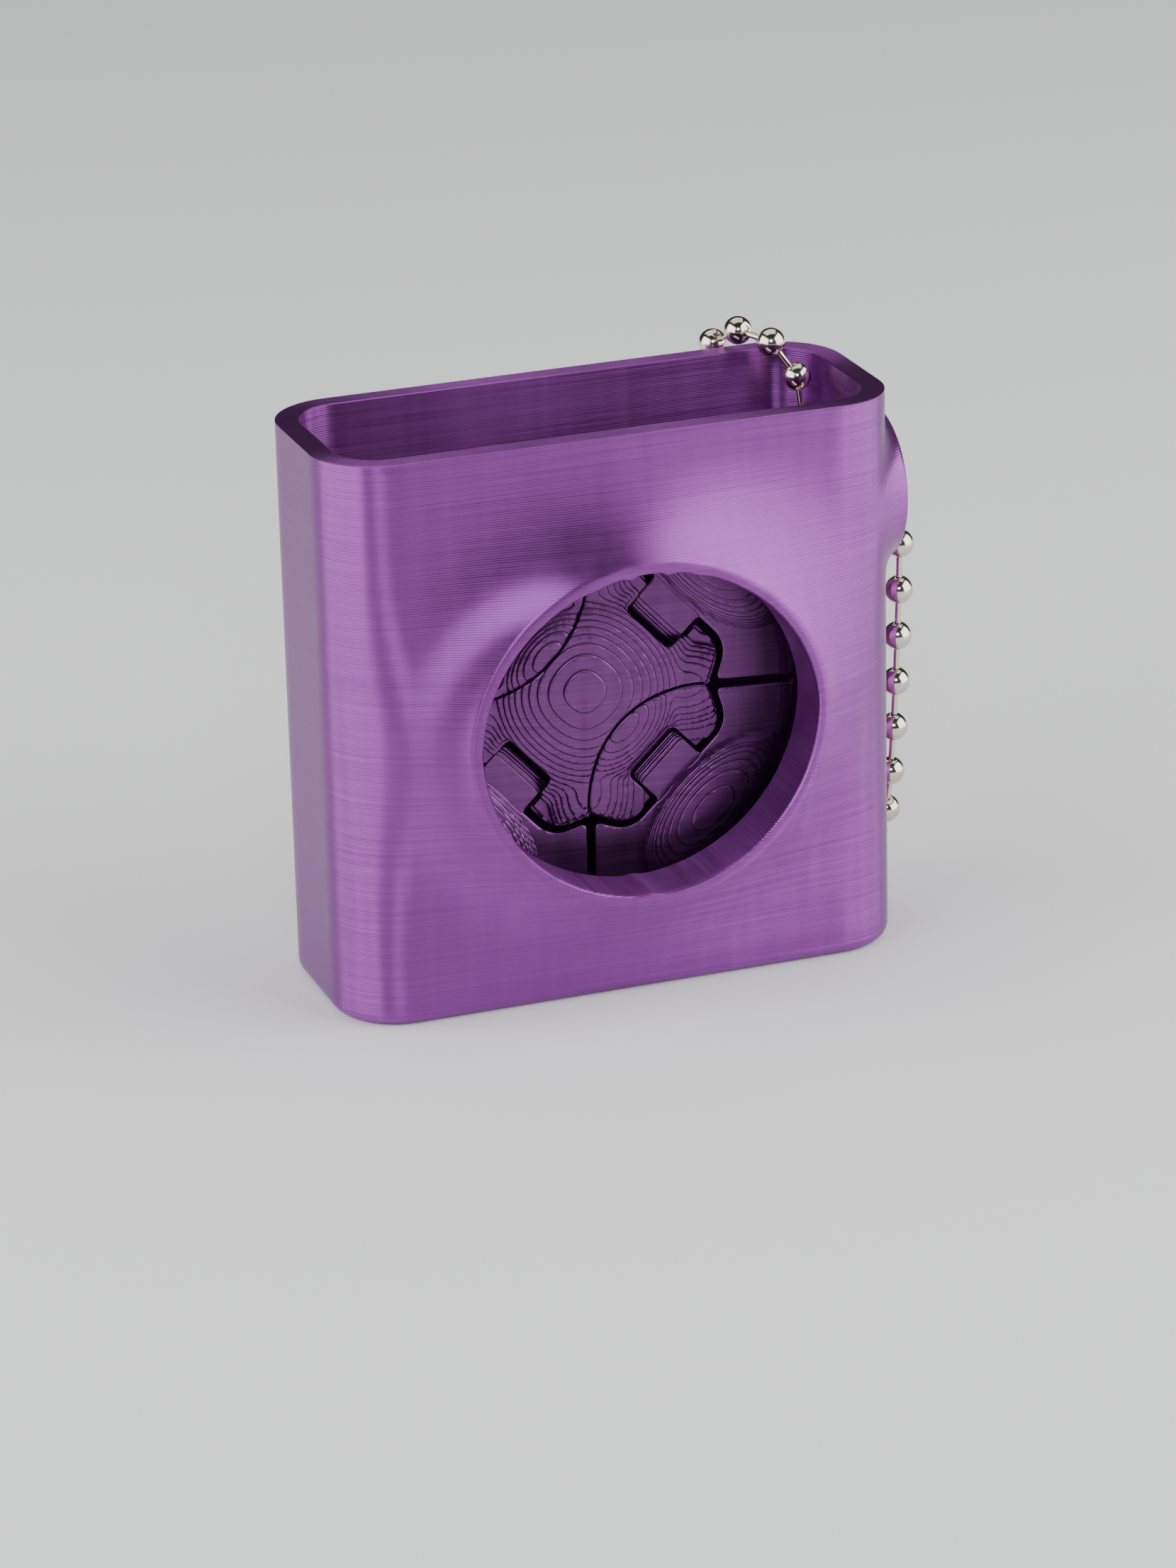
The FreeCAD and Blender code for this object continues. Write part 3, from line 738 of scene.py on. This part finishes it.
print("dome falls to", round(centre_height(8, 0), 2), "mm at 8 mm out")

# %% [markdown]
# ## Layers
# For each layer, a flat grid is given a height that is above zero only where the layer has plastic,
# and then cut at zero with bisect_plane. That leaves the layer's outline as a clean edge. The cut
# sheet becomes a slab with a slightly rounded upper edge, which draws the contour line. Each layer
# is printed a hair to one side of the last, as on a bed that has shifted.

# %% Layers
LAYER_MM, DRIFT = 0.2, Vector((0.36, -0.33, 0))
DRIFT_FOOT, TOUCH, EDGE = 2.4, 0.02, 0.07


def layer_slab(outline, height, low, thick, box, cell):
    """One layer as a closed slab, in the link's own plane, or nothing where it has no plastic."""
    (x0, x1), (y0, y1) = box
    columns, rows = round((x1 - x0) / cell), round((y1 - y0) / cell)
    slab = bmesh.new()
    bmesh.ops.create_grid(slab, x_segments=columns, y_segments=rows, size=1)
    for v in slab.verts:
        x = x0 + (v.co.x + 1) / 2 * (x1 - x0)
        y = y0 + (v.co.y + 1) / 2 * (y1 - y0)
        inside = outline(x, y)
        level = inside
        if inside > -cell:
            level = min(inside, 3 * (height(x, y) - low - thick + LAYER_MM / 2))
        v.co = (x, y, level)
    bmesh.ops.bisect_plane(slab, geom=slab.verts[:] + slab.edges[:] + slab.faces[:], dist=1e-5,
                           plane_co=(0, 0, 0), plane_no=(0, 0, 1), clear_inner=True)
    if not slab.faces:
        slab.free()
        return None
    for v in slab.verts:
        v.co.z = 0
    bmesh.ops.remove_doubles(slab, verts=slab.verts[:], dist=0.03)
    grown = bmesh.ops.extrude_face_region(slab, geom=slab.faces[:], use_keep_orig=True)["geom"]
    tops = [g for g in grown if isinstance(g, bmesh.types.BMVert)]
    bmesh.ops.translate(slab, vec=(0, 0, thick + TOUCH - EDGE), verts=tops)
    bmesh.ops.recalc_face_normals(slab, faces=slab.faces[:])
    caps = [f for f in slab.faces if f.normal.z > 0.9]
    bmesh.ops.inset_region(slab, faces=caps, thickness=EDGE, depth=EDGE, use_even_offset=True)
    slide = DRIFT * (DOME_TOP - max(low, DRIFT_FOOT))
    bmesh.ops.translate(slab, vec=(0, 0, low - TOUCH), verts=slab.verts[:])
    return slab, slide


def layered_link(name, outline, height, degrees, box, thick_below, cell=0.34):
    """A link as a stack of printed layers, turned onto its diagonal and set in the case."""
    turn = Matrix.Rotation(math.radians(degrees), 4, "Z")
    layers, low = [], 0.0
    while low < DOME_TOP:
        thick = LAYER_MM if low > thick_below - 0.01 else 3 * LAYER_MM
        made = layer_slab(outline, height, low, thick, box, cell)
        if made:
            slab, slide = made
            bmesh.ops.transform(slab, matrix=Matrix.Translation(slide) @ turn, verts=slab.verts[:])
            layers.append(slab)
        low += thick
    count = len(layers)
    stack = joined(layers)
    bmesh.ops.transform(stack, matrix=TOY @ Matrix.Scale(MM, 4), verts=stack.verts[:])
    piece = finished(stack, f"printed_{name}", name, toy_silk, sharp=50)
    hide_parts(name)
    print(f"  {count} layers")
    return piece


layered_link("centre_link", centre_outline, centre_height, 45, ((-12, 12), (-9, 9)), 3.6)
for corner, degrees in {"lower_right": -45, "upper_left": 135}.items():
    layered_link(f"side_link_{corner}", side_outline, side_height, degrees,
                 ((3.5, 12.2), (-8.5, 8.5)), 3.6)
for corner, degrees in {"upper_right": 45, "lower_right": -45, "lower_left": -135,
                        "upper_left": 135}.items():
    layered_link(f"petal_{corner}", petal_outline, petal_height, degrees,
                 ((7.2, 19.2), (-14.4, 14.4)), 1.2)

# %% [markdown]
# ## Floor and light
# A pale table and a light tent: bright cloth on both sides, a weaker one overhead, and a gap in
# front where one looks in, with one small cool lamp in it. That gap is what gives satin plastic
# its dark patches beside bright ones.

# %% Floor
floor = bmesh.new()
bmesh.ops.create_grid(floor, x_segments=1, y_segments=1, size=3)
floor_mesh = bpy.data.meshes.new("floor")
floor.to_mesh(floor_mesh)
floor.free()
floor_object = bpy.data.objects.new("floor", floor_mesh)
bpy.context.collection.objects.link(floor_object)
paper, tree, shader = new_material("pale_matt_paper")
shader.inputs["Base Color"].default_value = linear("#eeefef")
shader.inputs["Roughness"].default_value = 0.9
floor_mesh.materials.append(paper)

# %% Light tent
world = bpy.data.worlds.new("light_tent")
bpy.context.scene.world = world
world.use_nodes = True
tree = world.node_tree
tree.nodes.clear()
sky = node(tree, "ShaderNodeBackground", {"Color": linear("#dfe2e6"), "Strength": 0.05})
node(tree, "ShaderNodeOutputWorld", {"Surface": sky.outputs["Background"]})


def tent_wall(name, turn, rise, far, size, power):
    """A lit cloth of the tent: turn degrees to the right of the front, rise degrees up."""
    turn, rise = math.radians(turn), math.radians(rise)
    lamp = bpy.data.lights.new(name, "AREA")
    lamp.shape = "RECTANGLE"
    lamp.size, lamp.size_y = size
    lamp.energy = power
    lit = bpy.data.objects.new(name, lamp)
    away = Vector((
        math.sin(turn) * math.cos(rise), -math.cos(turn) * math.cos(rise), math.sin(rise),
    ))
    lit.location = mm(0, 0, 25) + away * far
    lit.rotation_euler = away.to_track_quat("Z", "Y").to_euler()
    bpy.context.collection.objects.link(lit)
    return lit


tent_wall("roof", 172, 70, 1.0, (1.2, 1.0), 5)
tent_wall("right_cloth", 61, 16, 0.5, (0.7, 0.7), 5.6)
tent_wall("left_cloth", -84, 14, 0.5, (0.78, 0.6), 5.5)
small_lamp = tent_wall("small_front_lamp", -17, 28, 0.6, (0.16, 0.12), 0.8)
small_lamp.data.color = (0.88, 0.92, 1.0)
